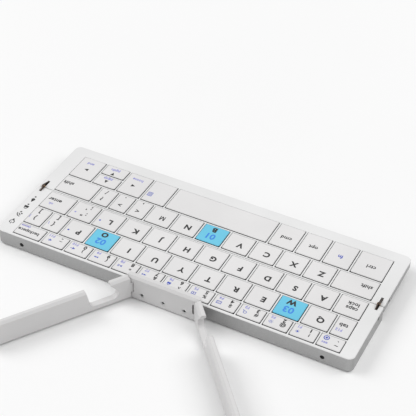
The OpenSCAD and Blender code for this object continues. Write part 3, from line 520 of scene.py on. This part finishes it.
def flat_solid(curve):
    """Vertices and triangles of a curve given some thickness; the curve is used up.

    z is +1 on its face and -1 on its back.
    """
    curve.extrude = 0.1
    holder = bpy.data.objects.new("holder", curve)
    bpy.context.scene.collection.objects.link(holder)
    bpy.context.view_layer.update()
    solid = bpy.data.meshes.new_from_object(
        holder.evaluated_get(bpy.context.evaluated_depsgraph_get()))
    solid.calc_loop_triangles()
    verts = np.zeros(len(solid.vertices) * 3, np.float32)
    solid.vertices.foreach_get("co", verts)
    tris = np.zeros(len(solid.loop_triangles) * 3, np.int32)
    solid.loop_triangles.foreach_get("vertices", tris)
    bpy.data.objects.remove(holder)
    bpy.data.curves.remove(curve)
    bpy.data.meshes.remove(solid)
    verts = verts.reshape(-1, 3)
    verts[:, 2] = np.sign(verts[:, 2])
    return verts, tris.reshape(-1, 3)


# the height of the font's capitals
CAPITAL = float(np.ptp(flat_solid(word_curve("H", 0.0))[0][:, 1]))


def flat_shape(kind, content, weight):
    """Vertices and triangles of a word or icon about the origin, one unit or capital high."""
    if kind == "icon":
        return flat_solid(icon_curve(ICONS[content]))
    verts, tris = flat_solid(word_curve(content, weight))
    verts[:, :2] /= CAPITAL
    verts[:, 0] -= (verts[:, 0].min() + verts[:, 0].max()) / 2
    verts[:, 1] -= 0.5
    return verts, tris


INKS = [BLACK_INK, BLUE_INK, PALE_INK, DEEP_INK]
BLACK, BLUE, PALE, DEEP = range(4)
# the printed film stands this proud, and its back lies as deep in the plastic
FILM = 0.015
shapes = {}
lettering = {}


def mark(body, place, dx, dy, content, height, ink=BLACK, kind="word", weight=THIN, top=KEY_TOP):
    """Adds a word or icon at an offset from a place to the lettering of a body."""
    if (kind, content, weight) not in shapes:
        shapes[kind, content, weight] = flat_shape(kind, content, weight)
    verts, tris = shapes[kind, content, weight]
    put = verts * [height, height, FILM] + [place[0] + dx, place[1] + dy, top]
    lettering.setdefault(body, []).append((put, tris, ink))


def letter_kind(content):
    """Whether a character comes from the font or is drawn as an icon."""
    return "icon" if content in ICONS else "word"


LETTER_H, WORD_H, DIGIT_H, SIGN_H, SMALL_H = 3.9, 2.8, 2.6, 2.5, 1.9
MARK_H, FAINT_H, DOT_H = 3.2, 2.2, 1.3

# Letters stand a little left of the middle of their key and towards its far side.
SIDES = {
    "upper_keys_left": "QERT", "upper_keys_right": "YUIP", "home_keys_left": "ASDFG",
    "home_keys_right": "HJKL", "lower_keys_left": "ZXCV", "lower_keys_right": "NM",
}
PLACES = dict(zip("QWERTYUIOP", UPPER[1:11]))
PLACES.update(zip("ASDFGHJKL", HOME[1:10]))
PLACES.update(zip("ZXCVBNM", LOWER[1:8]))
for body, letters in SIDES.items():
    for letter in letters:
        mark(body, PLACES[letter], -1.4, 1.2, letter, LETTER_H, kind=letter_kind(letter),
             weight=BOLD)

# The blue keys carry their letter on the near side and a number over it.
for body, letter, number in (("w_key", "W", "03"), ("o_key", "O", "02"), ("b_key", "B", "01")):
    mark(body, PLACES[letter], 0.7, -4.2, letter, 3.6, weight=HEAVY)
    mark(body, PLACES[letter], 0.2, 2.1, number, 4.6, DEEP)

# Number keys: sign over digit on the left, and a blue icon over its function on the right.
SIGNS = "!@#$%^&*()_"
DIGITS = "1234567890-"
TASKS = ["dim", "bright", "search", "keypad", "capture", "lock", "back", "play", "ahead",
         "mute", "quiet"]
for i, (sign, digit, task) in enumerate(zip(SIGNS, DIGITS, TASKS)):
    body, place = f"number_keys_{'left' if i < 5 else 'right'}", NUMBER[i + 1]
    mark(body, place, -3.3, 0.8, sign, SIGN_H, kind=letter_kind(sign))
    mark(body, place, -3.1, -2.8, digit, DIGIT_H, weight=BOLD)
    mark(body, place, 3.9, 0.9, task, 2.8, BLUE, "icon")
    mark(body, place, 3.9, -2.9, f"F{i + 1}", SMALL_H, PALE)
mark("number_keys_left", NUMBER[0], -3.6, 1.6, "~", SIGN_H)
mark("number_keys_left", NUMBER[0], -3.6, -3.2, "`", DIGIT_H)
mark("number_keys_left", NUMBER[0], 3.5, -2.2, "round", 3.6, BLUE, "icon")
mark("number_keys_left", NUMBER[0], 3.3, 1.9, "esc", SMALL_H, PALE)
mark("backspace_key", NUMBER[12], 0.9, 0.7, "backspace", 2.4)
mark("backspace_key", NUMBER[12], 5.0, -3.0, "delete", 1.7, PALE)

# The keys at the ends of the letter rows
mark("tab_key", UPPER[0], 0.5, -1.1, "tab", WORD_H)
mark("tab_key", UPPER[0], 1.7, 3.2, "F12", SMALL_H, PALE)
mark("caps_key", HOME[0], -1.0, 1.2, "caps", WORD_H)
mark("caps_key", HOME[0], -0.7, -2.6, "lock", WORD_H)
mark("enter_key", HOME[11], 3.1, -1.1, "enter", WORD_H)
mark("enter_key", HOME[11], 3.8, 3.0, "ok", SMALL_H, PALE)
mark("shift_key_left", LOWER[0], -6.6, -1.3, "shift", WORD_H)
mark("shift_key_right", LOWER[11], 7.9, -1.4, "shift", WORD_H)

# Marks in pairs: the shifted one on the far side.
PAIRS = [
    ("bracket_keys", UPPER[11], "{", "[", 0.8), ("bracket_keys", UPPER[12], "}", "]", 1.1),
    ("home_keys_right", HOME[10], ":", ";", -2.5), ("punctuation_keys", LOWER[8], "<", ",", 0.6),
    ("punctuation_keys", LOWER[9], ">", ".", 0.6), ("punctuation_keys", LOWER[10], "?", "/", 1.1),
]
for body, place, far, near, dx in PAIRS:
    mark(body, place, dx, 2.2, far, MARK_H)
    mark(body, place, dx, -4.3, near, MARK_H)
mark("home_keys_right", HOME[10], 0.2, 2.4, '"', MARK_H)
mark("home_keys_right", HOME[10], 0.2, -3.8, "'", MARK_H)
mark("bracket_keys", UPPER[11], 4.0, 1.9, "\\", FAINT_H, PALE)
mark("bracket_keys", UPPER[12], 4.9, 2.1, "|", FAINT_H, PALE)
mark("upper_keys_right", PLACES["P"], 5.4, 1.8, "dot", DOT_H, BLUE, "icon")
mark("home_keys_right", PLACES["L"], 5.3, 2.2, "dot", DOT_H, BLUE, "icon")
mark("home_keys_right", HOME[10], 5.1, 2.4, "dot", DOT_H, PALE, "icon")

# The bottom row
for body, place, word, ink in (
    ("control_key", BOTTOM[0], "ctrl", BLACK), ("fn_key", BOTTOM[1], "fn", BLUE),
    ("option_key", BOTTOM[2], "opt", BLACK), ("command_key", BOTTOM[3], "cmd", BLACK),
):
    mark(body, place, 0.0, 1.4, word, WORD_H, ink)
mark("menu_key", BOTTOM[5], 4.9, 3.5, "page", 3.8, BLUE, "icon")
for body, place, way, word, way_y, word_y in (
    ("arrow_key_left", BOTTOM[6], "left", "home", 1.4, -5.0),
    ("arrow_key_right", BOTTOM[8], "right", "end", 1.2, -5.0),
    ("arrow_key_up", BOTTOM[7], "up", "pgup", 6.1, 3.1),
    ("arrow_key_down", BOTTOM[7], "down", "pgdn", -3.0, -6.6),
):
    mark(body, place, 0.6, way_y, way, 3.4, BLACK, "icon")
    mark(body, place, 0.8, word_y, word, FAINT_H, PALE)

# Signs beside the status lights, on the right-hand bezel
SIGNS_X = 113.9
for y, sign in ((9.0, "capital"), (16.9, "lock"), (24.6, "radio"), (32.6, "power")):
    mark("rear_half", (SIGNS_X, y), 0, 0, sign, 3.6, BLACK, "icon", top=BEZEL_TOP)

for body, parts in lettering.items():
    verts, faces = join_skins([(put, [tris]) for put, tris, _ in parts])
    which = np.concatenate([np.full(len(tris), ink) for _, tris, ink in parts])
    mesh_piece(f"{body}_lettering", body, verts, faces, INKS, which)

# ---------------------------------------------------------------- small fittings


def screws(name, body, places, towards, sizes, finish, node):
    """Screws of one kind in one piece, in place of their node; sizes are as screw takes them.

    A face is painted black, as painted shade, where it lies deeper than 0.3 of the head's length,
    and so is the fan that closes the recess.
    """
    rings = screw(*sizes)
    verts, faces = join_skins([closed_skin(turned(rings, side, at))
                               for at, side in zip(places, towards)])
    head_l = sizes[1]
    sunk = rings[..., 2] < -0.3 * head_l
    sunk[FACE_RINGS:] = False
    which = np.concatenate([(sunk[:-1] & sunk[1:]).ravel(), np.ones(SCREW_POINTS),
                            np.zeros(SCREW_POINTS)])
    piece = mesh_piece(name, body, verts, faces, [finish, RECESS_SHADE],
                       np.tile(which, len(places)))
    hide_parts(node)


# The stand's block: three screws in a row in its rear face
BLOCK_X, BLOCK_REAR, BLOCK_SCREW_Z, BLOCK_PITCH = -0.95, 46.65, 5.2, 14.1
screws("stand_screws", "rear_half",
       [(BLOCK_X + step * BLOCK_PITCH, BLOCK_REAR, BLOCK_SCREW_Z) for step in (-1, 0, 1)],
       [(0, 1, 0)] * 3, (1.6, 1.0, 0.9, 6.8), SCREW_ZINC, "block_screws")

# The hinges' leaves: one screw of each half in each end face
END_X, END_SCREW_Z = 118.5, 8.8
for half, y, length in (("rear", 2.85, 4.1), ("front", -13.85, 3.4)):
    screws(f"{half}_end_screws", f"{half}_half",
           [(END_X, y, END_SCREW_Z), (-END_X, y, END_SCREW_Z)], [(1, 0, 0), (-1, 0, 0)],
           (1.3, 0.8, 0.8, length), NICKEL, f"{half}_hinge_screws")

# The inlet's tongue, with five contacts along its underside
CONTACT_Y, CONTACT_W, CONTACT_PITCH = 17.28, 0.24, 0.55
tongue = closed_skin(rounded_bar((113.6, 16.9, 3.55), (117.6, 20.1, 4.15), 0.15))
contacts = [closed_skin(rounded_bar((114.0, y, 3.47), (117.4, y + CONTACT_W, 3.6), 0.04))
            for y in CONTACT_Y + CONTACT_PITCH * np.arange(5)]
verts, faces = join_skins([tongue] + contacts)
mesh_piece("inlet_tongue", "rear_half", verts, faces, [CONTACT_PLASTIC, BRASS],
           np.repeat([0, 1], [face_count(tongue), sum(map(face_count, contacts))]))

# ---------------------------------------------------------------- floor, light and camera

# The background's white, and how strongly the sky lights what is matt
WHITE, FILL = 0.97, 0.52


def paper_sweep(name):
    """Matt white paper round the product, lit from behind farther out.

    There it fades to the plain white of the background.
    """
    middle, near, far, tone_drift = (0, 90 * MM, 0), 180 * MM, 560 * MM, 300.0
    made, tree, shader = blank(name)
    place = add(tree, "TexCoord")["Object"]
    tone = drifting_tone(tree, place, tone_drift, "#EEEEEE", "#ECECEC")
    tree.links.new(tone, shader.inputs["Base Color"])
    shader.inputs["Roughness"].default_value = 0.8
    shader.inputs["Specular IOR Level"].default_value = 0.2
    away = add(tree, "VectorMath", {0: place, 1: middle}, operation="DISTANCE")["Value"]
    fade = add(tree, "MapRange", {"Value": away, "From Min": near, "From Max": far},
               interpolation_type="SMOOTHSTEP")[0]
    backlit = add(tree, "Emission", {"Color": (WHITE, WHITE, WHITE, 1)})[0]
    sweep = add(tree, "MixShader", {0: fade, 1: shader.outputs[0], 2: backlit})[0]
    tree.links.new(sweep, tree.nodes["Material Output"].inputs["Surface"])
    return made


REACH, FLOOR_Z = 4000.0, -0.1
floor = mesh_piece("floor", None, [(-REACH, -REACH, FLOOR_Z), (REACH, -REACH, FLOOR_Z),
                                   (REACH, REACH, FLOOR_Z), (-REACH, REACH, FLOOR_Z)],
                   [np.array([[0, 1, 2, 3]])], [paper_sweep("white_paper_sweep")])


def studio_sky(name):
    """A sky that is white to the camera and in what shines or is clear, and softer on the rest."""
    world = bpy.data.worlds.new(name)
    bpy.context.scene.world = world
    world.use_nodes = True
    sky = world.node_tree
    path = add(sky, "LightPath")
    seen = add(sky, "Math", {0: path["Is Camera Ray"], 1: path["Is Glossy Ray"]},
               operation="MAXIMUM")[0]
    seen = add(sky, "Math", {0: seen, 1: path["Is Transmission Ray"]}, operation="MAXIMUM")[0]
    level = add(sky, "Mix", {"Factor": seen, "A": FILL, "B": WHITE})["Result"]
    sky.links.new(level, sky.nodes["Background"].inputs["Strength"])
    sky.nodes["Background"].inputs["Color"].default_value = (1, 1, 1, 1)


def softbox(name, at, size, power):
    """A square area light that looks at the origin; metres and watts."""
    lamp = bpy.data.lights.new(name, "AREA")
    lamp.shape, lamp.size, lamp.energy = "SQUARE", size, power
    obj = bpy.data.objects.new(name, lamp)
    bpy.context.scene.collection.objects.link(obj)
    obj.location = at
    obj.rotation_mode = "QUATERNION"
    obj.rotation_quaternion = mathutils.Vector(at).to_track_quat("Z", "Y")


# The camera's place and what it looks at in metres, its roll in radians, and its lens in mm
EYE = np.array([-0.2600, 0.5059, 0.5226])
AIM = np.array([0.0119, -0.0358, 0.0118])
ROLL = 0.0162
FOCAL, SENSOR = 108.77, 36.0


def camera_at(eye, aim, roll, focal):
    """The scene's camera at eye, which looks at aim and rolls about its line of sight."""
    ahead = (aim - eye) / np.linalg.norm(aim - eye)
    level = np.cross(ahead, [0, 0, 1.0])
    level /= np.linalg.norm(level)
    upright = np.cross(level, ahead)
    side = math.cos(roll) * level + math.sin(roll) * upright
    up = -math.sin(roll) * level + math.cos(roll) * upright
    lens = bpy.data.cameras.new("camera")
    lens.lens, lens.sensor_width = focal, SENSOR
    lens.clip_start, lens.clip_end = 0.01, 50.0
    camera = bpy.data.objects.new("camera", lens)
    bpy.context.scene.collection.objects.link(camera)
    axes = np.stack([side, up, -ahead], 1).tolist()
    camera.matrix_world = mathutils.Matrix(
        [[*axis, at] for axis, at in zip(axes, eye)] + [[0, 0, 0, 1]])
    bpy.context.scene.camera = camera


studio_sky("studio")
softbox("key_light", (1.15, 0.35, 1.25), 1.0, 13.0)
softbox("top_light", (-0.9, -0.35, 1.35), 1.4, 13.5)
camera_at(EYE, AIM, ROLL, FOCAL)
bpy.context.scene.view_settings.view_transform = "Standard"
